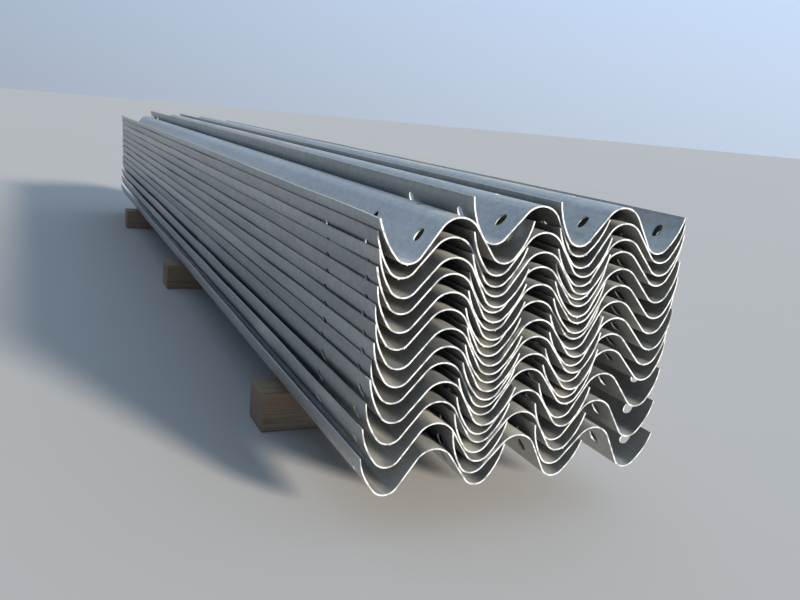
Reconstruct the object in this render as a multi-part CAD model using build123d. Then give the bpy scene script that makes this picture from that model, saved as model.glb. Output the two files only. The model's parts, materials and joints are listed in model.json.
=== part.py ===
from build123d import *
import math
import numpy
import os
import random

# A stack of galvanised W-beam guardrail sections, nested open side up in three shingled
# columns on timber bearers. All lengths are in millimetres and all angles in degrees.
# +X runs along the rails towards their near ends, +Y across the stack, +Z up. The origin is
# on the floor, under the middle of the stack's box.

# Rail section, measured at mid-sheet
rail_length = 4320.0
rail_width = 310.0
rail_depth = 86.0
sheet = 3.0
valley_spacing = 194.0
valley_radius = 30.0
crest_radius = 44.0
lip_slope = 72.0
lip_length = 39.0
lip_drop = 4.0

# Splice slots, four across the rail in each of two rows at either end, and the post bolt hole
end_to_slot = 58.0
slot_row_pitch = 216.0
slot_length = 29.0
slot_width = 23.0
slot_height = 41.5
post_hole_diameter = 20.0

# Stack
layers = 13
nesting_clearance = 0.1
end_stagger = 7.0
side_sway = 0.25

# Rolls of a layer's rails in the left, middle and right column, and how far the rails are
# shifted from places one valley spacing apart
lowest_layers = (
    ((0.0, -8.0, -8.0), (0.0, -19.0, -28.0)),
    ((-2.0, -4.0, -3.0), (0.0, -11.5, -19.5)),
    ((-4.0, 0.0, 3.0), (0.0, -4.0, -9.0)),
)
inner_layer = ((-6.0, 2.5, 7.5), (0.0, 2.4, 0.2))
highest_layers = (
    ((-6.0, 0.5, 6.0), (-2.0, -3.0, -4.8)),
    ((-5.0, -1.0, 3.0), (-1.5, -8.2, -12.1)),
    ((0.5, -6.3, -3.9), (5.0, -19.7, -26.2)),
)

# Timber bearers
bearer_height = 100.0
bearer_width = 120.0
bearer_overhang = 25.0
bearer_inset = 620.0
bearer_chamfer = 4.0
seat_clearance = 0.2

# Values worked out from the sizes above
column_names = ("left", "middle", "right")
bearer_names = ("far", "middle", "near")
sample_step = 1.5


def polar(centre, radius, slope):
    """Point on a bend where the sheet climbs outwards at a slope."""
    turn = math.radians(slope)
    return (centre[0] + radius * math.sin(turn), centre[1] - radius * math.cos(turn))


def mirrored(point):
    """The same point on the left half of the section."""
    return (-point[0], point[1])


# Right half of the section at mid-sheet, with the valley's bottom at height zero
profile_height = rail_depth - sheet
crest_centre = (0.0, profile_height - crest_radius)
valley_centre = (valley_spacing / 2, valley_radius)
inner_slope = math.degrees(
    math.atan2(crest_centre[1] - valley_centre[1], valley_centre[0])
    + math.asin((crest_radius + valley_radius) / math.dist(crest_centre, valley_centre))
)
lip_turn = math.radians(lip_slope)
lip_tip = (rail_width / 2 - sheet / 2 * math.sin(lip_turn), profile_height - lip_drop)

# Each side is a wide bend in the sheet, drawn as two flats that meet where the lip starts
lip_root = (
    lip_tip[0] - lip_length * math.cos(lip_turn),
    lip_tip[1] - lip_length * math.sin(lip_turn),
)
outer_slope = math.degrees(
    math.atan2(lip_root[1] - valley_centre[1], lip_root[0] - valley_centre[0])
    + math.asin(valley_radius / math.dist(valley_centre, lip_root))
)


def crest_point(height, slope):
    """Point on the crest of the surface at a height over mid-sheet."""
    return polar(crest_centre, -crest_radius - height, slope)


def valley_point(height, slope):
    """Point in the right valley of the surface at a height over mid-sheet."""
    return polar(valley_centre, valley_radius - height, slope)


def lip_points(height):
    """Foot and edge of the right lip's surface at a height over mid-sheet."""
    half_bend = math.radians(lip_slope - outer_slope) / 2
    foot = polar(lip_root, -height / math.cos(half_bend), (lip_slope + outer_slope) / 2)
    return foot, polar(lip_tip, -height, lip_slope)


def surface_edges(height):
    """Lines and arcs of one surface of the sheet, from the left lip to the right lip."""
    foot, edge = lip_points(height)
    slopes = (-inner_slope, (outer_slope - inner_slope) / 2, outer_slope)
    valley = [valley_point(height, slope) for slope in slopes]
    left_valley = [mirrored(point) for point in reversed(valley)]
    crest = [crest_point(height, slope) for slope in (inner_slope, 0, -inner_slope)]
    return [
        Line(mirrored(edge), mirrored(foot)),
        Line(mirrored(foot), left_valley[0]),
        ThreePointArc(*left_valley),
        Line(left_valley[-1], crest[0]),
        ThreePointArc(*crest),
        Line(crest[-1], valley[0]),
        ThreePointArc(*valley),
        Line(valley[-1], foot),
        Line(foot, edge),
    ]


def rail_section():
    """Closed section of the pressed sheet."""
    top_edge, under_edge = lip_points(sheet / 2)[1], lip_points(-sheet / 2)[1]
    cut_edges = [Line(top_edge, under_edge), Line(mirrored(top_edge), mirrored(under_edge))]
    outline = Curve() + surface_edges(sheet / 2) + surface_edges(-sheet / 2) + cut_edges
    return make_face(outline)


def slopes_between(first, last):
    """Evenly spaced slopes along a bend, for working out how rails nest."""
    steps = math.ceil(abs(last - first) / sample_step)
    return [first + (last - first) * step / steps for step in range(steps + 1)]


def sampled_surface(height):
    """Closely spaced points on one surface of the sheet, from the left lip to the right lip."""
    right = [crest_point(height, slope) for slope in slopes_between(0, -inner_slope)]
    right += [valley_point(height, slope) for slope in slopes_between(-inner_slope, outer_slope)]
    right += lip_points(height)
    return [mirrored(point) for point in reversed(right)] + right


def sampled_outline():
    """Closely spaced points all round the sheet's section."""
    return sampled_surface(sheet / 2) + sampled_surface(-sheet / 2)[::-1]


def placed(outline, across, up, roll):
    """A sampled outline after a roll about the rail's own axis and a move."""
    cosine, sine = math.cos(math.radians(roll)), math.sin(math.radians(roll))
    turn = numpy.array([[cosine, sine], [-sine, cosine]])
    return numpy.array(outline) @ turn + (across, up)


def heights(outline, stations, pick):
    """Highest or lowest height of a closed outline at each of several places across it."""
    start, end = outline, numpy.roll(outline, -1, axis=0)
    low, high = numpy.minimum(start[:, 0], end[:, 0]), numpy.maximum(start[:, 0], end[:, 0])
    places = stations[:, None]
    run = numpy.where(high > low, end[:, 0] - start[:, 0], 1.0)
    found = start[:, 1] + (end[:, 1] - start[:, 1]) * (places - start[:, 0]) / run
    missing = -math.inf if pick is numpy.max else math.inf
    return pick(numpy.where((low <= places) & (places <= high), found, missing), axis=1)


def rise_over(upper, lower):
    """Least rise that lifts one rail's outline clear of another's."""
    low = max(upper[:, 0].min(), lower[:, 0].min())
    high = min(upper[:, 0].max(), lower[:, 0].max())
    stations = numpy.concatenate([upper[:, 0], lower[:, 0]])
    stations = stations[(low <= stations) & (stations <= high)]
    if not len(stations):
        return -math.inf
    gaps = heights(lower, stations, numpy.max) - heights(upper, stations, numpy.min)
    return gaps.max()


def layer_plan():
    """Rolls and shifts of every layer's three rails, from the lowest layer up."""
    inner_layers = layers - len(lowest_layers) - len(highest_layers)
    return lowest_layers + (inner_layer,) * inner_layers + highest_layers


def nested_rails():
    """Each rail's name, place and roll, laid down in turn on the bearers and the rails below."""
    outline = sampled_outline()
    chance = random.Random(5)
    laid, places = [], []
    for layer, (rolls, shifts) in enumerate(layer_plan()):
        for column, name in enumerate(column_names):
            roll = rolls[column]
            across = (column - 1) * valley_spacing + shifts[column]
            across += chance.uniform(-side_sway, side_sway)
            lowered = placed(outline, across, 0.0, roll)
            seat = bearer_height + seat_clearance - lowered[:, 1].min()
            rises = [rise_over(lowered, rail) + nesting_clearance for rail in laid]
            rise = max([seat] + rises)
            laid = laid[-2 * len(column_names) :] + [placed(outline, across, rise, roll)]
            along = chance.uniform(-end_stagger, end_stagger)
            places.append((f"{name}_rail_{layer + 1:02d}", along, across, rise, roll))
    return places


def slot_rows():
    """Where the splice slots lie across the rail: place, height and slope of the sheet."""
    foot = valley_point(0, -inner_slope)
    inner = foot[0] - (slot_height - foot[1]) / math.tan(math.radians(inner_slope))
    rows = []
    for across, slope in ((inner, -inner_slope), (lip_root[0], (outer_slope + lip_slope) / 2)):
        rows += [(across, slot_height, slope), (-across, slot_height, -slope)]
    return rows


def punched(length, width):
    """Outline of a punched slot or hole, its round ends drawn as three flats."""
    corner = width * (1 - math.sqrt(0.5))
    return chamfer(Rectangle(length, width).vertices(), corner)


def slot_cutters():
    """Solids that cut the splice slots and post bolt holes at both ends of a rail."""
    splice_slot = punched(slot_length, slot_width)
    post_hole = punched(post_hole_diameter, post_hole_diameter)
    cutters = []
    for end in (-1, 1):
        for row in (0, 1):
            along = end * (rail_length / 2 - end_to_slot - row * slot_row_pitch)
            for across, height, slope in slot_rows():
                turn = math.radians(slope)
                uphill = (0, math.cos(turn), math.sin(turn))
                outwards = (0, -math.sin(turn), math.cos(turn))
                plane = Plane((along, across, height), x_dir=uphill, z_dir=outwards)
                cutters.append(extrude(plane * splice_slot, amount=2 * sheet, both=True))
        along = end * (rail_length / 2 - end_to_slot - slot_row_pitch / 2)
        hole = Pos(along, 0, profile_height) * post_hole
        cutters.append(extrude(hole, amount=2 * sheet, both=True))
    return cutters


def pressed_rail(drilled):
    """One rail along X, centred on its length, with the valleys' mid-sheet at height zero."""
    start = Plane.YZ.offset(-rail_length / 2)
    rail = extrude(start * rail_section(), amount=rail_length)
    return rail - slot_cutters() if drilled else rail


def timber_bearer(width):
    """One sawn bearer across the stack, centred on the origin with its underside on the floor."""
    section = Rectangle(bearer_width, bearer_height)
    section = chamfer(section.vertices(), bearer_chamfer)
    lying = Plane.XZ.offset(-width / 2) * Pos(0, bearer_height / 2) * section
    return extrude(lying, amount=width)


def export(shape, name):
    """Write one named piece."""
    shape.label = name
    export_step(shape, os.path.join("parts", f"{name}.step"))


def main():
    """Build every rail and bearer of the stack."""
    os.makedirs("parts", exist_ok=True)
    drilled_rail = pressed_rail(drilled=True)
    plain_rail = pressed_rail(drilled=False)
    rails = {}
    for name, along, across, rise, roll in nested_rails():
        on_top = name.endswith(f"{layers:02d}")
        rail = drilled_rail if on_top else plain_rail
        rails[name] = Pos(along, across, rise) * Rot(roll, 0, 0) * rail
    boxes = [rail.bounding_box() for rail in rails.values()]
    far, near = min(box.min.X for box in boxes), max(box.max.X for box in boxes)
    left, right = min(box.min.Y for box in boxes), max(box.max.Y for box in boxes)
    centring = Pos(-(far + near) / 2, -(left + right) / 2, 0)
    for name, rail in rails.items():
        export(centring * rail, name)
    bearer = timber_bearer(right - left + 2 * bearer_overhang)
    for step, name in enumerate(bearer_names):
        along = (step - 1) * (rail_length / 2 - bearer_inset)
        export(Pos(along, 0, 0) * bearer, f"{name}_bearer")


main()
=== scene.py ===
"""Looks of a stack of galvanised W-beam guardrail sections on timber bearers.

Every length is in metres and every angle in degrees unless a docstring says otherwise. +X runs
along the rails towards their near ends, +Y across the stack and +Z up.
"""

import json
import logging
import math
import random
from contextlib import contextmanager
from dataclasses import dataclass, field
from enum import Enum
from typing import Any, Iterator, Mapping, Optional, Sequence, Union

import bmesh
import bpy
import numpy
from mathutils import Matrix, Vector

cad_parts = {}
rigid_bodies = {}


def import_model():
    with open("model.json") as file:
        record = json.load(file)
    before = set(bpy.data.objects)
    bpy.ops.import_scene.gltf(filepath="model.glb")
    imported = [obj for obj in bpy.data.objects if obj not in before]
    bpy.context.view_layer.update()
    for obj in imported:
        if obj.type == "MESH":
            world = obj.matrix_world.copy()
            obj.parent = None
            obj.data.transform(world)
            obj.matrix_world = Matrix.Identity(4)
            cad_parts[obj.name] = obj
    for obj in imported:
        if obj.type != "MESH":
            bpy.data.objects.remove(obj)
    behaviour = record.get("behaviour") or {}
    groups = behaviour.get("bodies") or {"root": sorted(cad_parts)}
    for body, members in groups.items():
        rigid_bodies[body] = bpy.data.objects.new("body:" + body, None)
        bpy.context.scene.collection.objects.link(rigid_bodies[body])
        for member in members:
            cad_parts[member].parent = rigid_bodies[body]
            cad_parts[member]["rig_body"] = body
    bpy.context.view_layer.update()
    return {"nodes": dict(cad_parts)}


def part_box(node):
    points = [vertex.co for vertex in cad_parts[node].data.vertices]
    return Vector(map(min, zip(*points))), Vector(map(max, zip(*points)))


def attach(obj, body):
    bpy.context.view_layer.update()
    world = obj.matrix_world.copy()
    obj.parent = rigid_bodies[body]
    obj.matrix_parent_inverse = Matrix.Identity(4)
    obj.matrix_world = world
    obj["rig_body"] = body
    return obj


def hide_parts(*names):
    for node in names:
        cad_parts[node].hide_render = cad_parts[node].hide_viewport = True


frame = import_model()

log = logging.getLogger("guardrail_stack")

Point2 = tuple[float, float]
Span = tuple[float, float]
Scale = tuple[float, float, float]
Colour = tuple[float, float, float]

# Index of the cut edges' finish in a rail's mesh
EDGE_FINISH = 1


class Column(Enum):
    """A column of the stack, and the side on which its rails' lips are free of neighbours."""

    LEFT = -1
    MIDDLE = 0
    RIGHT = 1


class Signal:
    """A node's output that can be used in plain arithmetic."""

    def __init__(self, graph: "NodeGraph", socket: bpy.types.NodeSocket) -> None:
        """Wraps a socket of one of a graph's nodes."""
        self.graph = graph
        self.socket = socket

    def __add__(self, other: "Operand") -> "Signal":
        """Sum."""
        return self.graph.maths("ADD", self, other)

    def __radd__(self, other: "Operand") -> "Signal":
        """Sum with a number on the left."""
        return self.graph.maths("ADD", other, self)

    def __sub__(self, other: "Operand") -> "Signal":
        """Difference."""
        return self.graph.maths("SUBTRACT", self, other)

    def __rsub__(self, other: "Operand") -> "Signal":
        """Difference from a number."""
        return self.graph.maths("SUBTRACT", other, self)

    def __mul__(self, other: "Operand") -> "Signal":
        """Product."""
        return self.graph.maths("MULTIPLY", self, other)

    def __rmul__(self, other: "Operand") -> "Signal":
        """Product with a number on the left."""
        return self.graph.maths("MULTIPLY", other, self)


Operand = Union[Signal, float]
NodeInput = Union[Operand, Sequence[Any], bpy.types.Material]
SocketName = Union[str, int]


class NodeGraph:
    """A node tree and the one way in which its nodes are added."""

    def __init__(self, tree: bpy.types.NodeTree) -> None:
        """Empties a shader or geometry node tree and wraps it."""
        self.tree = tree
        tree.nodes.clear()

    def node(
        self,
        kind: str,
        settings: Optional[Mapping[str, Any]] = None,
        inputs: Optional[Mapping[SocketName, NodeInput]] = None,
        output: SocketName = 0,
    ) -> Signal:
        """Adds a node.

        Args:
            kind: The node's type.
            settings: Its settings, set first. "stops" holds a ramp's stops.
            inputs: Values or links of its sockets by name or index. A list links each item.
            output: Which output is returned, by name or index.

        Returns:
            The chosen output, or the first input of a node that has no output.
        """
        made = self.tree.nodes.new(kind)
        for name, value in (settings or {}).items():
            if name == "stops":
                self._set_stops(made.color_ramp, value)
            else:
                setattr(made, name, value)
        for name, value in (inputs or {}).items():
            socket = made.inputs[name]
            for item in value if isinstance(value, list) else [value]:
                if isinstance(item, Signal):
                    self.tree.links.new(item.socket, socket)
                else:
                    socket.default_value = item
        return Signal(self, made.outputs[output] if made.outputs else made.inputs[0])

    @staticmethod
    def _set_stops(ramp: bpy.types.ColorRamp, stops: Sequence[tuple[float, Colour]]) -> None:
        """Gives a ramp its stops.

        Args:
            ramp: The ramp.
            stops: Pairs of position and colour, from low to high.
        """
        while len(ramp.elements) < len(stops):
            ramp.elements.new(1.0)
        for element, (position, colour) in zip(ramp.elements, stops):
            element.position = position
            element.color = (*colour, 1.0)

    def maths(self, operation: str, *values: Operand) -> Signal:
        """A Math node's result from one to three numbers or signals."""
        return self.node("ShaderNodeMath", {"operation": operation}, dict(enumerate(values)))

    def clamped(self, value: Signal) -> Signal:
        """A signal held between 0 and 1."""
        return self.node("ShaderNodeClamp", inputs={"Value": value})

    def part(self, vector: Signal, axis: str) -> Signal:
        """One of a vector's three numbers."""
        return self.node("ShaderNodeSeparateXYZ", inputs={"Vector": vector}, output=axis)


class ShaderGraph(NodeGraph):
    """A material's nodes, with the few patterns that these finishes share."""

    def __init__(self, name: str) -> None:
        """Starts a material.

        Args:
            name: The material's name.
        """
        self.material = bpy.data.materials.new(name)
        self.material.use_nodes = True
        super().__init__(self.material.node_tree)

    def attribute(self, name: str, output: str) -> Signal:
        """A value that the mesh stores at its vertices."""
        return self.node("ShaderNodeAttribute", {"attribute_name": name}, output=output)

    def object_place(self) -> Signal:
        """The place on a piece, in the stack's own axes."""
        return self.node("ShaderNodeTexCoord", output="Object")

    def mix(self, factor: Operand, low: Any, high: Any) -> Signal:
        """A mix of two colours or signals, all low at a factor of 0 and all high at 1."""
        inputs = {"Factor": factor, 6: self._colour(low), 7: self._colour(high)}
        return self.node("ShaderNodeMix", {"data_type": "RGBA"}, inputs, output=2)

    @staticmethod
    def _colour(value: Any) -> Any:
        """A colour with its alpha, or a signal as it is."""
        return value if isinstance(value, Signal) else (*value, 1.0)

    def vectors(self, operation: str, *values: NodeInput, output: str = "Vector") -> Signal:
        """A Vector Math node's result."""
        settings = {"operation": operation}
        return self.node("ShaderNodeVectorMath", settings, dict(enumerate(values)), output)

    def noise(self, place: Signal, scale: Scale, detail: float = 2.0) -> Signal:
        """Cloudy noise around 0.5, of a scale in features a metre and a detail in octaves."""
        inputs = {"Vector": self.vectors("MULTIPLY", place, scale), "Scale": 1.0, "Detail": detail}
        return self.node("ShaderNodeTexNoise", {"noise_dimensions": "3D"}, inputs)

    def step(self, value: Signal, span: Span) -> Signal:
        """A smooth step from 0 at a span's start to 1 at its end."""
        settings = {"interpolation_type": "SMOOTHSTEP"}
        inputs = {"Value": value, "From Min": span[0], "From Max": span[1]}
        return self.node("ShaderNodeMapRange", settings, inputs)

    def bump(self, relief: Signal, strength: float, height: float) -> Signal:
        """A surface normal from relief of a height in metres."""
        inputs = {"Height": relief, "Strength": strength, "Distance": height}
        return self.node("ShaderNodeBump", inputs=inputs)

    def finish(self, inputs: Mapping[SocketName, NodeInput]) -> bpy.types.Material:
        """Ends the tree in one Principled shader.

        Args:
            inputs: Values or signals of the shader's sockets.

        Returns:
            The material.
        """
        shader = self.node("ShaderNodeBsdfPrincipled", inputs=inputs)
        self.node("ShaderNodeOutputMaterial", inputs={"Surface": shader})
        return self.material


@dataclass(frozen=True)
class GalvanisedSheet:
    """Hot-dip zinc on pressed sheet: dull blue-grey, with spangle, streaks and pale bloom.

    A scale is a pattern's features a metre, and a span runs from where it starts to where it is
    full. The last fields say how much each pattern weighs.
    """

    shaded_zinc: Colour = (0.31, 0.315, 0.31)
    open_zinc: Colour = (0.54, 0.545, 0.53)
    bloom: Colour = (0.64, 0.645, 0.63)
    dust: Colour = (0.44, 0.40, 0.31)
    metallic: float = 0.72
    roughness: float = 0.36
    spangles_per_metre: float = 85.0
    cloud_scale: Scale = (1.1, 7.0, 1.0)
    streak_scale: Scale = (0.9, 130.0, 1.0)
    patch_scale: Scale = (3.0, 8.0, 1.0)
    grain_scale: Scale = (420.0, 420.0, 1.0)
    dust_scale: Scale = (3.0, 14.0, 1.0)
    bloom_span: Span = (0.54, 0.80)
    dust_span: Span = (0.42, 0.66)
    level_span: Span = (0.8, 1.0)
    streak_shade: float = 0.6
    spangle_shade: float = 0.3
    tone_shade: float = 0.5
    bloom_cover: float = 0.3
    dust_cover: float = 0.55
    bloom_dulling: float = 0.2
    dust_dulling: float = 0.7
    cloud_roughness: float = 0.12
    bloom_roughness: float = 0.16
    dust_roughness: float = 0.2
    spangle_gloss: float = 0.05
    spangle_relief: float = 0.35
    grain_relief: float = 0.5
    streak_relief: float = 0.3
    bump_strength: float = 0.12
    bump_height: float = 0.0006

    def material(self) -> bpy.types.Material:
        """Builds the material.

        Returns:
            The material, which reads the place on the sheet and the rail's own tone.
        """
        graph = ShaderGraph("galvanised_sheet")
        place = graph.attribute("sheet_place", "Vector")
        tone = graph.attribute("rail_tone", "Fac")
        cloud = graph.noise(place, self.cloud_scale, detail=3.0)
        streak = graph.noise(place, self.streak_scale)
        crystals = {"Vector": place, "Scale": self.spangles_per_metre}
        crystal = graph.node("ShaderNodeTexVoronoi", inputs=crystals, output="Color")
        crystal = graph.node("ShaderNodeSeparateColor", inputs={"Color": crystal})
        bloom = graph.step(graph.noise(place, self.patch_scale, detail=5.0), self.bloom_span)
        settled = self._settled_dust(graph, place)
        shade = graph.clamped(
            cloud
            + (streak - 0.5) * self.streak_shade
            + (crystal - 0.5) * self.spangle_shade
            + (tone - 0.5) * self.tone_shade
        )
        colour = graph.mix(shade, self.shaded_zinc, self.open_zinc)
        colour = graph.mix(bloom * self.bloom_cover, colour, self.bloom)
        colour = graph.mix(settled * self.dust_cover, colour, self.dust)
        dulled = graph.clamped(bloom * self.bloom_dulling + settled * self.dust_dulling)
        roughness = (
            self.roughness
            + cloud * self.cloud_roughness
            + bloom * self.bloom_roughness
            + settled * self.dust_roughness
            - crystal * self.spangle_gloss
        )
        relief = (
            crystal * self.spangle_relief
            + graph.noise(place, self.grain_scale) * self.grain_relief
            + streak * self.streak_relief
        )
        return graph.finish(
            {
                "Base Color": colour,
                "Metallic": self.metallic * (1.0 - dulled),
                "Roughness": roughness,
                "Normal": graph.bump(relief, self.bump_strength, self.bump_height),
            }
        )

    def _settled_dust(self, graph: ShaderGraph, place: Signal) -> Signal:
        """Uneven dust on what faces up.

        Args:
            graph: The material's graph.
            place: The place on the sheet.

        Returns:
            How much dust there is, from 0 to 1.
        """
        upward = graph.part(graph.node("ShaderNodeNewGeometry", output="Normal"), "Z")
        uneven = graph.noise(place, self.dust_scale, detail=4.0)
        return graph.step(upward, self.level_span) * graph.step(uneven, self.dust_span)


@dataclass(frozen=True)
class CutEdge:
    """The zinc-coated cut ends of the sheet, smoother and paler than its faces."""

    zinc: Colour = (0.58, 0.585, 0.58)
    dull: Colour = (0.27, 0.28, 0.29)
    wear_scale: Scale = (60.0, 60.0, 60.0)
    dull_span: Span = (0.42, 0.66)
    metallic: float = 0.15
    roughness: float = 0.3
    wear_roughness: float = 0.25

    def material(self) -> bpy.types.Material:
        """Builds the material."""
        graph = ShaderGraph("cut_edge_zinc")
        wear = graph.noise(graph.object_place(), self.wear_scale, detail=3.0)
        return graph.finish(
            {
                "Base Color": graph.mix(graph.step(wear, self.dull_span), self.zinc, self.dull),
                "Metallic": self.metallic,
                "Roughness": self.roughness + wear * self.wear_roughness,
            }
        )


@dataclass(frozen=True)
class SawnTimber:
    """Rough sawn softwood baulk, weathered brown, with its heart off to one side.

    Scales and spans are as for the sheet, with the grain along +Y.
    """

    dark: Colour = (0.12, 0.072, 0.042)
    light: Colour = (0.33, 0.245, 0.165)
    weathered: Colour = (0.30, 0.27, 0.235)
    rings_per_metre: float = 190.0
    heart: Point2 = (0.035, -0.02)
    ring_wander: float = 0.02
    wander_scale: Scale = (9.0, 1.6, 9.0)
    fibre_scale: Scale = (700.0, 9.0, 700.0)
    stain_scale: Scale = (6.0, 5.0, 6.0)
    late_span: Span = (-0.2, 0.95)
    weathered_span: Span = (0.5, 0.75)
    plain_shade: float = 0.62
    late_shade: float = 0.3
    fibre_shade: float = 0.7
    stain_shade: float = 0.8
    weathered_cover: float = 0.55
    roughness: float = 0.72
    fibre_roughness: float = 0.2
    fibre_relief: float = 0.7
    late_relief: float = 0.4
    bump_strength: float = 0.55
    bump_height: float = 0.0012

    def material(self, name: str, middle: Vector, seed: float) -> bpy.types.Material:
        """Builds the material for one bearer.

        Args:
            name: The material's name.
            middle: The bearer's middle, where its rings are centred from.
            seed: Tells one bearer's grain from another's.

        Returns:
            The material.
        """
        graph = ShaderGraph(name)
        shift = (-middle.x - self.heart[0], seed, -middle.z - self.heart[1])
        place = graph.vectors("ADD", graph.object_place(), shift)
        bent = graph.noise(place, self.wander_scale)
        upright = graph.vectors("MULTIPLY", place, (1.0, 0.0, 1.0))
        across = graph.vectors("LENGTH", upright, output="Value")
        turns = (across + bent * self.ring_wander) * (self.rings_per_metre * math.tau)
        late = graph.step(graph.maths("SINE", turns), self.late_span)
        fibre = graph.noise(place, self.fibre_scale, detail=3.0)
        stain = graph.noise(place, self.stain_scale, detail=4.0)
        shade = graph.clamped(
            self.plain_shade
            - late * self.late_shade
            + (fibre - 0.5) * self.fibre_shade
            + (stain - 0.5) * self.stain_shade
        )
        colour = graph.mix(shade, self.dark, self.light)
        cover = graph.step(stain, self.weathered_span) * self.weathered_cover
        relief = fibre * self.fibre_relief - late * self.late_relief
        return graph.finish(
            {
                "Base Color": graph.mix(cover, colour, self.weathered),
                "Roughness": self.roughness + fibre * self.fibre_roughness,
                "Normal": graph.bump(relief, self.bump_strength, self.bump_height),
            }
        )


@dataclass(frozen=True)
class PaleFloor:
    """Plain pale studio floor."""

    pale: Colour = (0.34, 0.33, 0.32)
    paler: Colour = (0.36, 0.35, 0.34)
    cloud_scale: Scale = (0.7, 0.7, 0.7)
    roughness: float = 0.85

    def material(self) -> bpy.types.Material:
        """Builds the material."""
        graph = ShaderGraph("pale_floor")
        colour = graph.mix(
            graph.noise(graph.object_place(), self.cloud_scale), self.pale, self.paler
        )
        return graph.finish({"Base Color": colour, "Roughness": self.roughness})


def polar(centre: Point2, radius: float, slope: float) -> Point2:
    """Point on a bend where the sheet climbs outwards at a slope in degrees."""
    turn = math.radians(slope)
    return (centre[0] + radius * math.sin(turn), centre[1] - radius * math.cos(turn))


def distances(points: numpy.ndarray, line: numpy.ndarray) -> numpy.ndarray:
    """Distance of each point from a line of short straight pieces.

    Args:
        points: Rows of two numbers.
        line: The line's corners, as rows of two numbers.

    Returns:
        One distance for each point.
    """
    start, run = line[:-1], line[1:] - line[:-1]
    offset = points[:, None, :] - start
    share = (offset * run).sum(2) / (run * run).sum(1)
    nearest = offset - share.clip(0, 1)[..., None] * run
    return numpy.sqrt((nearest * nearest).sum(2)).min(1)


def corners_of(mesh: bpy.types.Mesh) -> numpy.ndarray:
    """A mesh's vertices as rows of three numbers."""
    flat = numpy.empty(len(mesh.vertices) * 3)
    mesh.vertices.foreach_get("co", flat)
    return flat.reshape(-1, 3)


@contextmanager
def edited(mesh: bpy.types.Mesh) -> Iterator[bmesh.types.BMesh]:
    """Opens a mesh for editing and puts the result back.

    Args:
        mesh: The mesh.

    Yields:
        Its editable form.
    """
    work = bmesh.new()
    work.from_mesh(mesh)
    yield work
    work.to_mesh(mesh)
    work.free()


def shown(name: str, data: bpy.types.ID) -> bpy.types.Object:
    """A new object in the scene."""
    made = bpy.data.objects.new(name, data)
    bpy.context.scene.collection.objects.link(made)
    return made


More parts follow.
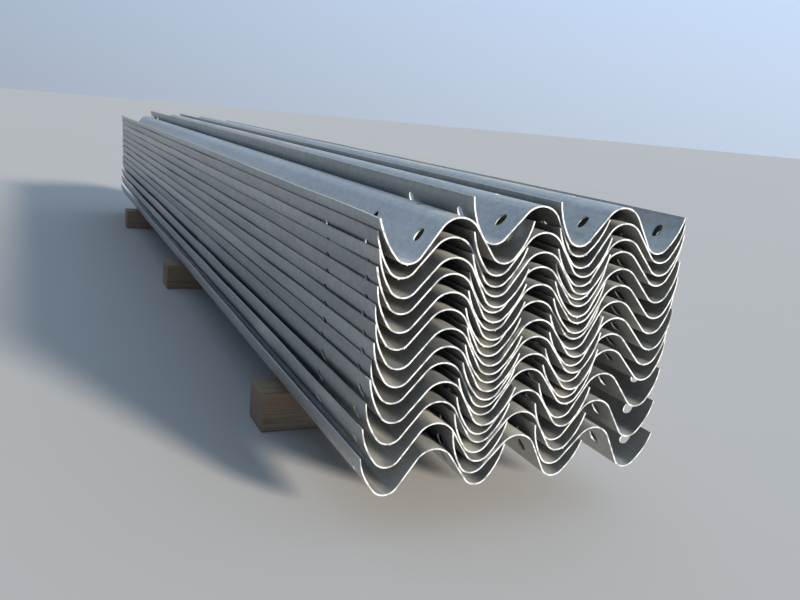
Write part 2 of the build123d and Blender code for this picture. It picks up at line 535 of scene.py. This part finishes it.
@dataclass(frozen=True)
class RailSection:
    """The pressed section, across and up, with the valleys' mid-sheet at height zero."""

    width: float = 0.310
    depth: float = 0.086
    sheet: float = 0.003
    valley_spacing: float = 0.194
    valley_radius: float = 0.030
    crest_radius: float = 0.044
    lip_slope: float = 78.7
    lip_drop: float = 0.004
    flat_lip_slope: float = 72.0
    degrees_per_facet: float = 6.5

    @property
    def height(self) -> float:
        """Height of the crest's mid-sheet over the valleys'."""
        return self.depth - self.sheet

    @property
    def crest_centre(self) -> Point2:
        """Centre of the crest's bend."""
        return (0.0, self.height - self.crest_radius)

    @property
    def valley_centre(self) -> Point2:
        """Centre of the right valley's bend."""
        return (self.valley_spacing / 2, self.valley_radius)

    @property
    def inner_slope(self) -> float:
        """Slope of the flank between crest and valley."""
        rise = self.crest_centre[1] - self.valley_centre[1]
        reach = math.dist(self.crest_centre, self.valley_centre)
        lean = math.asin((self.crest_radius + self.valley_radius) / reach)
        return math.degrees(math.atan2(rise, self.valley_centre[0]) + lean)

    @property
    def lip_tip(self) -> Point2:
        """Middle of the right lip's cut edge."""
        inset = self.sheet / 2 * math.sin(math.radians(self.lip_slope))
        return (self.width / 2 - inset, self.height - self.lip_drop)

    @property
    def side_radius(self) -> float:
        """Radius of the wide bend from a valley up to its lip."""
        across = self.lip_tip[0] - self.valley_centre[0]
        rise = self.lip_tip[1] - self.valley_centre[1]
        turn = math.radians(self.lip_slope)
        lean = rise * math.cos(turn) - across * math.sin(turn)
        return (self.valley_radius**2 - across**2 - rise**2) / (2 * (lean + self.valley_radius))

    @property
    def side_centre(self) -> Point2:
        """Centre of the right side's wide bend."""
        return polar(self.lip_tip, -self.side_radius, self.lip_slope)

    @property
    def side_slope(self) -> float:
        """Slope at which the valley's bend opens out into the side's."""
        across = self.valley_centre[0] - self.side_centre[0]
        return math.degrees(math.atan2(across, self.side_centre[1] - self.valley_centre[1]))

    @property
    def edge_rise(self) -> float:
        """Height of the solid's outermost corners, on its flat lips, over the valleys."""
        return self.lip_tip[1] - self.sheet / 2 * math.cos(math.radians(self.flat_lip_slope))

    def _bend(self, centre: Point2, radius: float, first: float, last: float) -> list[Point2]:
        """Points along a bend.

        Args:
            centre: Its centre.
            radius: Its radius, negative over a crest.
            first: The slope that it starts at.
            last: The slope that it ends at.

        Returns:
            The points, one facet apart.
        """
        steps = max(2, math.ceil(abs(last - first) / self.degrees_per_facet))
        slopes = [first + (last - first) * step / steps for step in range(steps + 1)]
        return [polar(centre, radius, slope) for slope in slopes]

    def surface(self, rise: float) -> list[Point2]:
        """Points on one surface of the sheet, from the left lip to the right lip.

        Args:
            rise: The surface's distance over mid-sheet.

        Returns:
            The points, with bends as short facets.
        """
        inner, side = self.inner_slope, self.side_slope
        right = self._bend(self.crest_centre, -self.crest_radius - rise, 0.0, -inner)
        right += self._bend(self.valley_centre, self.valley_radius - rise, -inner, side)
        right += self._bend(self.side_centre, self.side_radius - rise, side, self.lip_slope)[1:]
        return [(-across, up) for across, up in right[:0:-1]] + right

    def outline(self) -> list[Point2]:
        """Points all round the sheet's section."""
        return self.surface(self.sheet / 2) + self.surface(-self.sheet / 2)[::-1]

    def inner_flank(self, height: float) -> tuple[float, float]:
        """Place across and slope of the right inner flank's mid-sheet at a height."""
        slope = -self.inner_slope
        foot = polar(self.valley_centre, self.valley_radius, slope)
        return foot[0] + (height - foot[1]) / math.tan(math.radians(slope)), slope

    def outer_side(self, height: float) -> tuple[float, float]:
        """Place across and slope of the right side's mid-sheet at a height."""
        slope = math.degrees(math.acos((self.side_centre[1] - height) / self.side_radius))
        return polar(self.side_centre, self.side_radius, slope)[0], slope


@dataclass(frozen=True)
class RailSeat:
    """Where one rail lies: the middle of its valleys' plane, and its roll in radians."""

    middle: Vector
    roll: float
    length: float

    @classmethod
    def of_node(cls, name: str, section: RailSection) -> "RailSeat":
        """Reads a rail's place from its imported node.

        Args:
            name: The node's name.
            section: The rail's section, whose outermost corners are its lips' edges.

        Returns:
            The seat.
        """
        points = corners_of(frame["nodes"][name].data)
        left = points[points[:, 1].argmin()]
        right = points[points[:, 1].argmax()]
        roll = math.atan2(right[2] - left[2], right[1] - left[1])
        low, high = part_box(name)
        across = (left[1] + right[1]) / 2 + section.edge_rise * math.sin(roll)
        rise = (left[2] + right[2]) / 2 - section.edge_rise * math.cos(roll)
        return cls(Vector(((low.x + high.x) / 2, across, rise)), roll, high.x - low.x)

    @property
    def matrix(self) -> Matrix:
        """The rail's own axes in the stack's."""
        return Matrix.Translation(self.middle) @ Matrix.Rotation(self.roll, 4, "X")

    def across_and_up(self, points: Sequence[Point2]) -> numpy.ndarray:
        """Where points of the rail's section lie across the stack and over the floor."""
        return numpy.array([(self.matrix @ Vector((0.0, *point))).yz for point in points])


class GeometryRecipe(NodeGraph):
    """A Geometry Nodes tree with named inputs."""

    def __init__(self, name: str) -> None:
        """Starts a tree that takes and gives a geometry.

        Args:
            name: The tree's name.
        """
        super().__init__(bpy.data.node_groups.new(name, "GeometryNodeTree"))
        self.start = self.given("Geometry", "Geometry")
        sockets = self.tree.interface
        sockets.new_socket(name="Geometry", in_out="OUTPUT", socket_type="NodeSocketGeometry")

    def given(self, name: str, kind: str = "Float") -> Signal:
        """A new named input of the tree."""
        self.tree.interface.new_socket(name=name, in_out="INPUT", socket_type=f"NodeSocket{kind}")
        return self.node("NodeGroupInput", output=name)

    def vector(self, x: Operand, z: Operand = 0.0) -> Signal:
        """A vector with nothing across."""
        return self.node("ShaderNodeCombineXYZ", inputs={"X": x, "Z": z})

    def swept(self, outline: Signal, start: Signal, end: Signal, sections: Operand = 2) -> Signal:
        """A closed outline swept along a straight line and capped.

        Args:
            outline: The outline, as a curve.
            start: Where the line starts.
            end: Where it ends.
            sections: How many outlines stand along it.

        Returns:
            The solid.
        """
        line = self.node("GeometryNodeCurvePrimitiveLine", inputs={"Start": start, "End": end})
        line = self.node("GeometryNodeResampleCurve", inputs={"Curve": line, "Count": sections})
        inputs = {"Curve": line, "Profile Curve": outline, "Fill Caps": True}
        return self.node("GeometryNodeCurveToMesh", inputs=inputs)

    def moved(self, piece: Signal, place: Signal, turn: Optional[Signal] = None) -> Signal:
        """Moves and turns a copy of a piece.

        Args:
            piece: The piece.
            place: Where its origin goes.
            turn: Its rotation, if it has one.

        Returns:
            The copy.
        """
        inputs = {"Geometry": piece, "Translation": place}
        if turn is not None:
            inputs["Rotation"] = turn
        return self.node("GeometryNodeTransform", inputs=inputs)

    def joined(self, pieces: list[Signal]) -> Signal:
        """Several pieces as one."""
        return self.node("GeometryNodeJoinGeometry", inputs={"Geometry": pieces})

    def with_turned_copy(self, piece: Signal) -> Signal:
        """A piece and its copy, turned half round about the upright axis."""
        inputs = {"Geometry": piece, "Rotation": (0.0, 0.0, math.pi)}
        return self.joined([piece, self.node("GeometryNodeTransform", inputs=inputs)])

    def close(self, result: Signal) -> bpy.types.NodeTree:
        """Ends the tree in real geometry with the material that its last input names.

        Args:
            result: The geometry.

        Returns:
            The tree.
        """
        real = self.node("GeometryNodeRealizeInstances", inputs={"Geometry": result})
        dressed = {"Geometry": real, "Material": self.given("finish", "Material")}
        done = self.node("GeometryNodeSetMaterial", inputs=dressed)
        self.node("NodeGroupOutput", inputs={"Geometry": done})
        return self.tree


def evaluated(
    name: str, base: bpy.types.Mesh, tree: bpy.types.NodeTree, values: Mapping[str, Any]
) -> bpy.types.Mesh:
    """Runs a Geometry Nodes tree on a mesh and keeps the result as a plain mesh.

    Args:
        name: The result's name.
        base: The mesh that the tree starts from.
        tree: The tree.
        values: Values of the tree's named inputs.

    Returns:
        The plain mesh.
    """
    holder = shown(name, base)
    modifier = holder.modifiers.new(name, "NODES")
    modifier.node_group = tree
    for item in tree.interface.items_tree:
        if item.in_out == "INPUT" and item.name in values:
            modifier[item.identifier] = values[item.name]
    graph = bpy.context.evaluated_depsgraph_get()
    made = bpy.data.meshes.new_from_object(holder.evaluated_get(graph))
    made.name = name
    bpy.data.objects.remove(holder)
    bpy.data.meshes.remove(base)
    return made


def add_piece(name: str, mesh: bpy.types.Mesh, node: str) -> None:
    """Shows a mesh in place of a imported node, riding on the same body.

    Args:
        name: The piece's name.
        mesh: Its mesh, in the stack's own axes.
        node: The node that it stands for.
    """
    piece = shown(name, mesh)
    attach(piece, frame["nodes"][node]["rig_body"])
    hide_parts(node)
    log.info("%s: %d faces", name, len(mesh.polygons))


@dataclass
class PressedRail:
    """One guardrail section: a swept sheet with splice slots and post bolt holes punched.

    A face is a punch's wall where its middle lies within wall_share of the sheet's thickness
    from mid-sheet, and a cut end where it faces along the rail by end_facing or more.
    """

    section: RailSection = field(default_factory=RailSection)
    length: float = 4.320
    length_pieces: int = 36
    end_to_slot: float = 0.058
    slot_row_pitch: float = 0.216
    slot_length: float = 0.029
    slot_width: float = 0.023
    slot_height: float = 0.0415
    post_hole_diameter: float = 0.020
    punch_reach: float = 0.009
    round_facets: int = 6
    end_roundness: float = 0.4999
    wall_share: float = 0.46
    end_facing: float = 0.9
    smooth_below: float = 30.0

    def mesh(
        self, sheet_finish: bpy.types.Material, edge_finish: bpy.types.Material
    ) -> bpy.types.Mesh:
        """Presses and punches the rail about its own axes.

        Args:
            sheet_finish: Material of the sheet's faces.
            edge_finish: Material of its cut edges.

        Returns:
            The rail's mesh.
        """
        outline = bpy.data.meshes.new("rail_section")
        points = [(-across, -up, 0.0) for across, up in self.section.outline()]
        ring = [(i, (i + 1) % len(points)) for i in range(len(points))]
        outline.from_pydata(points, ring, [])
        pressed = evaluated("pressed_rail", outline, self._press(), self._sizes(sheet_finish))
        pressed.materials.clear()
        pressed.materials.append(sheet_finish)
        pressed.materials.append(edge_finish)
        self._mark_cut_edges(pressed)
        return pressed

    def _sizes(self, finish: bpy.types.Material) -> dict[str, Any]:
        """Values of the press's named inputs.

        Args:
            finish: Material of the sheet's faces.

        Returns:
            The values, most of them under their fields' own names.
        """
        inner, inner_slope = self.section.inner_flank(self.slot_height)
        outer, outer_slope = self.section.outer_side(self.slot_height)
        return {
            **vars(self),
            "sections": self.length_pieces + 1,
            "inner_slot": (0.0, inner, self.slot_height),
            "inner_slope": math.radians(inner_slope),
            "outer_slot": (0.0, outer, self.slot_height),
            "outer_slope": math.radians(outer_slope),
            "crest_height": self.section.height,
            "finish": finish,
        }

    def _press(self) -> bpy.types.NodeTree:
        """Builds the tree that sweeps a section and punches it at both ends.

        Returns:
            The tree.
        """
        press = GeometryRecipe("press_and_punch")
        length, sections = press.given("length"), press.given("sections", "Int")
        profile = press.node("GeometryNodeMeshToCurve", inputs={"Mesh": press.start})
        ends = [press.vector(length * share) for share in (-0.5, 0.5)]
        punched = press.node(
            "GeometryNodeMeshBoolean",
            {"operation": "DIFFERENCE", "solver": "EXACT"},
            {
                "Mesh 1": press.swept(profile, *ends, sections),
                "Mesh 2": self._punches(press, length),
            },
        )
        return press.close(punched)

    def _punches(self, press: GeometryRecipe, length: Signal) -> Signal:
        """All punches: four slots in each of two rows and a post bolt hole, at both ends.

        Args:
            press: The recipe that they are made in.
            length: The rail's length.

        Returns:
            The punches.
        """
        reach, facets = press.given("punch_reach"), press.given("round_facets", "Int")
        width, hole = press.given("slot_width"), press.given("post_hole_diameter")
        slot = self._punch(press, width, press.given("slot_length"), reach, facets)
        flanks = []
        for side in ("inner", "outer"):
            place, slope = press.given(f"{side}_slot", "Vector"), press.given(f"{side}_slope")
            flanks.append(press.moved(slot, place, press.vector(slope)))
        row = press.with_turned_copy(press.joined(flanks))
        pitch = press.given("slot_row_pitch")
        first = length * 0.5 - press.given("end_to_slot")
        places = {
            "Count": 2,
            "Start Location": press.vector(first),
            "Offset": press.vector(pitch * -1.0),
        }
        rows = press.node("GeometryNodeMeshLine", {"mode": "OFFSET"}, places)
        rows = press.node("GeometryNodeInstanceOnPoints", inputs={"Points": rows, "Instance": row})
        crest = press.vector(first - pitch * 0.5, press.given("crest_height"))
        bolt = press.moved(self._punch(press, hole, hole, reach, facets), crest)
        return press.with_turned_copy(press.joined([rows, bolt]))

    def _punch(
        self, press: GeometryRecipe, width: Signal, length: Signal, reach: Signal, facets: Signal
    ) -> Signal:
        """One round-ended punch standing on the origin.

        Args:
            press: The recipe that it is made in.
            width: Its width along the rail.
            length: Its length across the rail.
            reach: How far it goes over and under the sheet's middle.
            facets: Facets on each quarter of its round ends.

        Returns:
            The punch.
        """
        outline = press.node(
            "GeometryNodeCurvePrimitiveQuadrilateral",
            {"mode": "RECTANGLE"},
            {"Width": width, "Height": length},
        )
        corners = {"Curve": outline, "Count": facets, "Radius": width * self.end_roundness}
        outline = press.node("GeometryNodeFilletCurve", {"mode": "POLY"}, corners)
        return press.swept(outline, press.vector(0.0, reach * -1.0), press.vector(0.0, reach))

    def _mark_cut_edges(self, mesh: bpy.types.Mesh) -> None:
        """Gives cut ends and punched walls the edge finish, and sharpens corners.

        Args:
            mesh: The pressed rail, about its own axes.
        """
        middle = numpy.array(self.section.surface(0.0))
        wall_reach = self.section.sheet * self.wall_share
        slit_edge = self.section.lip_tip[0] - self.section.sheet / 2
        limit = math.radians(self.smooth_below)
        with edited(mesh) as work:
            centres = numpy.array([face.calc_center_median()[1:] for face in work.faces])
            for face, centre, off in zip(work.faces, centres, distances(centres, middle)):
                punched = off < wall_reach and abs(centre[0]) < slit_edge
                cut = punched or abs(face.normal.x) > self.end_facing
                face.material_index = EDGE_FINISH if cut else 0
                face.smooth = True
            for edge in work.edges:
                edge.smooth = edge.calc_face_angle(0.0) < limit


@dataclass
class ZincTears:
    """Beads of zinc that froze where the sheet's ends drained, low on the cut edges."""

    section: RailSection
    most: int = 3
    radii: Span = (0.0009, 0.0021)
    thickness: float = 0.7
    hang: Span = (0.8, 1.5)
    spread: float = 0.026
    subdivisions: int = 2

    def add_to(self, mesh: bpy.types.Mesh, length: float, chance: random.Random) -> None:
        """Adds a few beads at both ends of a rail.

        Args:
            mesh: The rail's mesh, about its own axes.
            length: The rail's length.
            chance: The source of their number, places and sizes.
        """
        with edited(mesh) as work:
            for end in (-1, 1):
                for _ in range(chance.randint(0, self.most)):
                    made = bmesh.ops.create_icosphere(
                        work,
                        subdivisions=self.subdivisions,
                        radius=1.0,
                        matrix=self._bead(end * length / 2, chance),
                    )
                    for face in {face for vertex in made["verts"] for face in vertex.link_faces}:
                        face.material_index = EDGE_FINISH
                        face.smooth = True

    def _bead(self, along: float, chance: random.Random) -> Matrix:
        """Puts one bead under a valley's cut edge.

        Args:
            along: Where the cut edge stands along the rail.
            chance: The source of the bead's size and place.

        Returns:
            The place and size of the bead.
        """
        radius = chance.uniform(*self.radii)
        off = chance.uniform(-self.spread, self.spread)
        slope = math.degrees(math.asin(off / self.section.valley_radius))
        under = self.section.valley_radius + self.section.sheet / 2
        across, up = polar(self.section.valley_centre, under, slope)
        place = Vector((along, math.copysign(across, chance.random() - 0.5), up))
        sizes = (radius * self.thickness, radius, radius * chance.uniform(*self.hang), 1.0)
        return Matrix.Translation(place) @ Matrix.Diagonal(sizes)


@dataclass
class RailStack:
    """All rails of the stack, each laid where its node lies."""

    rail: PressedRail = field(default_factory=PressedRail)
    slot: str = "galvanised_steel"
    lean_share: float = 0.7
    most_lean: float = 0.0028
    edge_wander: float = 0.0015
    edge_dip: float = 0.0006
    waves: int = 8
    wave_rate: float = 1.9
    wave_fading: float = 0.85
    lip_clearance: float = 0.0003
    lap_clearance: float = 0.0001
    easing_reach: float = 0.030
    pattern_room: Scale = (40.0, 9.0, 30.0)
    seed: int = 11

    def build(self) -> None:
        """Presses one rail and lays a copy of it at each rail's node."""
        section = self.rail.section
        master = self.rail.mesh(GalvanisedSheet().material(), CutEdge().material())
        chance = random.Random(self.seed)
        laid = {
            name: RailSeat.of_node(name, section) for name in frame["nodes"] if "_rail_" in name
        }
        middles = {name: seat.across_and_up(section.surface(0.0)) for name, seat in laid.items()}
        for column in Column:
            names = sorted(name for name in laid if name.startswith(column.name.lower()))
            seats = [laid[name] for name in names]
            for name, seat, above in zip(names, seats, seats[1:] + [None]):
                room = self._room_beside(seat, above, column)
                mesh = master.copy()
                self._dress(mesh, column, room, chance)
                others = [middle for other, middle in middles.items() if other != name]
                self._ease(mesh, seat, others)
                mesh.transform(seat.matrix)
                mesh.name = f"pressed_{name}"
                add_piece(mesh.name, mesh, name)
        bpy.data.meshes.remove(master)

    def _ease(self, mesh: bpy.types.Mesh, seat: RailSeat, others: Sequence[numpy.ndarray]) -> None:
        """Flattens a side's bend by a hair where it would cut into a rail that it laps.

        Args:
            mesh: The rail's mesh, about its own axes.
            seat: The rail's place.
            others: The other rails' middle lines, across and up.
        """
        section = self.rail.section
        half = section.surface(-section.sheet / 2)
        half = [point for point in half if point[0] > section.valley_centre[0]]
        points = corners_of(mesh)
        for hand in (-1, 1):
            side = seat.across_and_up([(hand * across, up) for across, up in half])
            gaps = numpy.min([distances(side, other) for other in others], axis=0)
            depth = section.sheet / 2 + self.lap_clearance - gaps.min()
            if depth <= 0:
                continue
            across, up = half[gaps.argmin()]
            inward = Vector(section.side_centre) - Vector((across, up))
            inward.normalize()
            off = numpy.abs(points[:, 1] * hand - across) / self.easing_reach
            share = 1.0 - off.clip(0, 1) ** 2
            points[:, 1] += hand * inward.x * depth * share
            points[:, 2] += inward.y * depth * share
        mesh.vertices.foreach_set("co", points.ravel())

    def _room_beside(self, seat: RailSeat, above: Optional[RailSeat], column: Column) -> float:
        """How far a rail's free lip can lean in before it meets the rail above.

        Args:
            seat: The rail's place.
            above: The place of the next rail up, if there is one.
            column: The rail's column.

        Returns:
            The room, less a little clearance. A top rail's lip only wanders.
        """
        if above is None:
            return self.edge_wander
        section = self.rail.section
        across, up = section.surface(section.sheet / 2)[-1]
        lip = seat.across_and_up([(across * column.value, up)])
        under = above.across_and_up(section.surface(-section.sheet / 2))
        return distances(lip, under)[0] - self.lip_clearance

    def _dress(
        self, mesh: bpy.types.Mesh, column: Column, room: float, chance: random.Random
    ) -> None:
        """Gives one rail its beads of zinc, its own patch of pattern and its wandering lip.

        Args:
            mesh: Its own copy of the pressed rail, about the rail's axes.
            column: Its column.
            room: How far its free lip can lean in.
            chance: The source of small differences.
        """
        section = self.rail.section
        ZincTears(section).add_to(mesh, self.rail.length, chance)
        points = corners_of(mesh)
        self._note_sheet_place(mesh, points, chance)
        side, dip = (self._wander(points[:, 0], chance) for _ in range(2))
        lean = min(self.lean_share * room, self.most_lean)
        out = (side * self.edge_wander - lean).clip(-room, None)
        lip_foot = section.outer_side(section.height / 2)[0]
        free = (points[:, 1] * column.value - lip_foot) / (section.width / 2 - lip_foot)
        free = free.clip(0, 1) ** 2
        points[:, 1] += out * free * column.value
        points[:, 2] += self.edge_dip * dip * free
        mesh.vertices.foreach_set("co", points.ravel())

    def _wander(self, along: numpy.ndarray, chance: random.Random) -> numpy.ndarray:
        """Slow waves along a rail, of about one unit either way."""
        return sum(
            self.wave_fading**turn
            * numpy.sin(along * turn * self.wave_rate + chance.uniform(0, math.tau))
            for turn in range(1, self.waves + 1)
        )

    def _note_sheet_place(
        self, mesh: bpy.types.Mesh, points: numpy.ndarray, chance: random.Random
    ) -> None:
        """Stores each vertex's place on the flat sheet, and the rail's own tone.

        Args:
            mesh: The rail's mesh.
            points: Its vertices, about the rail's axes.
            chance: The source of the rail's tone and its own patch of pattern.
        """
        middle = numpy.array(self.rail.section.surface(0.0))
        steps = numpy.hypot(*numpy.diff(middle, axis=0).T)
        girth = numpy.concatenate([[0.0], numpy.cumsum(steps)])
        along, across, up = (chance.uniform(-room, room) for room in self.pattern_room)
        place = numpy.full_like(points, up)
        place[:, 0] = points[:, 0] + along
        place[:, 1] = numpy.interp(points[:, 1], middle[:, 0], girth) + across
        attribute = mesh.attributes.new("sheet_place", "FLOAT_VECTOR", "POINT")
        attribute.data.foreach_set("vector", place.astype(numpy.float32).ravel())
        tone = mesh.attributes.new("rail_tone", "FLOAT", "POINT")
        tone.data.foreach_set("value", numpy.full(len(points), chance.random(), numpy.float32))


@dataclass
class TimberBearer:
    """One rough sawn baulk across the stack.

    A point of the block that runs from -1 to 1 lies on a face from skin up.
    """

    name: str
    slot: str = "sawn_timber"
    grid: float = 0.008
    skin: float = 0.999
    unevenness: float = 0.0012
    arris_wear: float = 0.0012
    top_share: float = 0.4
    waves: int = 6
    rates_along: Span = (6.0, 60.0)
    rates_round: Span = (4.0, 30.0)
    grain_step: float = 3.7

    def build(self, seed: int) -> None:
        """Makes the baulk where its node lies.

        Args:
            seed: Tells one baulk's surface from another's.
        """
        low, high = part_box(self.name)
        middle, half = (low + high) / 2, (high - low) / 2
        chance = random.Random(seed)
        ranges = (self.rates_along, (0.0, math.tau), self.rates_round)
        waves = [[chance.uniform(*ends) for ends in ranges] for _ in range(self.waves)]
        mesh = bpy.data.meshes.new(f"sawn_{self.name}")
        with edited(mesh) as work:
            bmesh.ops.create_cube(work, size=2.0)
            for axis in range(3):
                cuts = max(1, round(2 * half[axis] / self.grid))
                edges = [edge for edge in work.edges if self._runs_along(edge, axis)]
                bmesh.ops.subdivide_edges(work, edges=edges, cuts=cuts, use_grid_fill=True)
            for vertex in work.verts:
                vertex.co = self._weathered(vertex.co, half, waves) + middle
            for face in work.faces:
                face.smooth = True
        finish = SawnTimber().material(f"sawn_{self.name}", middle, seed * self.grain_step)
        mesh.materials.append(finish)
        add_piece(f"sawn_{self.name}", mesh, self.name)

    @staticmethod
    def _runs_along(edge: bmesh.types.BMEdge, axis: int) -> bool:
        """Whether an edge of the block runs along an axis."""
        return abs((edge.verts[1].co - edge.verts[0].co).normalized()[axis]) > 0.5

    def _weathered(self, unit: Vector, half: Vector, waves: Sequence[Sequence[float]]) -> Vector:
        """Where a point of a plain block lies on the rough one, inside the block's own box.

        Args:
            unit: The point on a block that runs from -1 to 1.
            half: Half the block's sizes.
            waves: Rate along, phase and rate round of each wave of its unevenness.

        Returns:
            The point, about the block's middle.
        """
        place = Vector(unit[axis] * half[axis] for axis in range(3))
        worn = sum(
            math.sin(place.y * first + phase) * math.cos((place.x - place.z) * second + phase)
            for first, phase, second in waves
        ) / len(waves)
        inset = self.unevenness * (0.5 + 0.5 * worn)
        arris = abs(unit.x) > self.skin and abs(unit.z) > self.skin
        if arris:
            inset += self.arris_wear
        if min(half.x - abs(place.x), half.z - abs(place.z)) < self.grid / 2:
            place.x -= math.copysign(inset, place.x)
        if arris and unit.z > 0:
            place.z -= inset * self.top_share
        if abs(unit.y) > self.skin:
            place.y -= math.copysign(inset, place.y)
        return place


@dataclass
class Studio:
    """Pale floor, soft light and the photograph's camera."""

    floor_radius: float = 60.0
    floor_sides: int = 96
    sky: tuple[tuple[float, Colour], ...] = (
        (0.0, (0.30, 0.29, 0.28)),
        (0.5, (0.43, 0.50, 0.61)),
        (0.62, (0.48, 0.61, 0.82)),
        (1.0, (0.58, 0.78, 1.00)),
    )
    sky_strength: float = 0.92
    sky_lean: float = 0.50
    sun_azimuth: float = 24.0
    sun_height: float = 20.0
    sun_softness: float = 9.0
    sun_strength: float = 6.8
    sun_colour: Colour = (1.0, 0.92, 0.80)
    sensor_width: float = 36.0
    picture_width: float = 800.0
    focal_pixels: float = 807.34
    nearest_seen: float = 0.05
    farthest_seen: float = 200.0
    camera_from_rail_end: tuple[float, float, float] = (1.24416, -0.68999, 0.25476)
    yaw: float = 39.39
    pitch: float = 1.67
    roll: float = 4.68
    pan_left: float = 15.5
    tilt_down: float = 13.5

    def build(self, section: RailSection) -> None:
        """Sets up everything that isn't the stack.

        Args:
            section: The rails' section, to find the rail that the camera is placed from.
        """
        self._lay_floor()
        self._light()
        bpy.context.scene.view_settings.view_transform = "Standard"
        self._set_camera(RailSeat.of_node("left_rail_13", section))

    def _lay_floor(self) -> None:
        """A large plain floor."""
        mesh = bpy.data.meshes.new("floor")
        with edited(mesh) as work:
            bmesh.ops.create_circle(
                work, cap_ends=True, segments=self.floor_sides, radius=self.floor_radius
            )
        mesh.materials.append(PaleFloor().material())
        floor = shown("floor", mesh)

    def _light(self) -> None:
        """Soft sky, brighter on the lit side, and one broad warm light in front."""
        world = bpy.data.worlds.new("soft_sky")
        bpy.context.scene.world = world
        world.use_nodes = True
        graph = NodeGraph(world.node_tree)
        place = graph.node("ShaderNodeTexCoord", output="Generated")
        height = graph.part(place, "Z") * 0.5 + 0.5
        sky = graph.node("ShaderNodeValToRGB", {"stops": self.sky}, {"Fac": height}, "Color")
        strength = self.sky_strength + graph.part(place, "Y") * self.sky_lean
        glow = graph.node("ShaderNodeBackground", inputs={"Color": sky, "Strength": strength})
        graph.node("ShaderNodeOutputWorld", inputs={"Surface": glow})
        light = bpy.data.lights.new("key", "SUN")
        light.energy, light.color = self.sun_strength, self.sun_colour
        light.angle = math.radians(self.sun_softness)
        turn = (0.0, math.radians(90.0 - self.sun_height), math.radians(self.sun_azimuth))
        shown("key", light).rotation_euler = turn

    def _set_camera(self, seat: RailSeat) -> None:
        """Stands the camera where the photograph was taken and turns it to show the whole stack.

        Args:
            seat: The top left rail's place.
        """
        lens = bpy.data.cameras.new("camera")
        lens.sensor_width = self.sensor_width
        lens.lens = self.focal_pixels / self.picture_width * self.sensor_width
        lens.clip_start, lens.clip_end = self.nearest_seen, self.farthest_seen
        camera = shown("camera", lens)
        end = seat.middle + Vector((seat.length / 2, 0.0, 0.0))
        yaw, pitch, roll = (math.radians(angle) for angle in (self.yaw, self.pitch, self.roll))
        level = Vector((math.sin(yaw), math.cos(yaw), 0.0))
        ahead = math.cos(pitch)
        forward = Vector((-math.cos(yaw) * ahead, math.sin(yaw) * ahead, math.sin(pitch)))
        upright = level.cross(forward)
        right = math.cos(roll) * level + math.sin(roll) * upright
        up = right.cross(forward)
        turn = Matrix((right, up, -forward)).transposed()
        turn = turn @ Matrix.Rotation(math.radians(self.pan_left), 3, "Y")
        turn = turn @ Matrix.Rotation(math.radians(-self.tilt_down), 3, "X")
        place = Matrix.Translation(end + Vector(self.camera_from_rail_end))
        camera.matrix_world = place @ turn.to_4x4()
        bpy.context.scene.camera = camera


def main() -> None:
    """Builds the rails, the bearers and the studio in order."""
    logging.basicConfig(level=logging.INFO, format="%(name)s: %(message)s")
    stack = RailStack()
    stack.build()
    for seed, name in enumerate(("near_bearer", "middle_bearer", "far_bearer"), start=1):
        TimberBearer(name).build(seed)
    Studio().build(stack.rail.section)


if __name__ == "__main__":
    main()
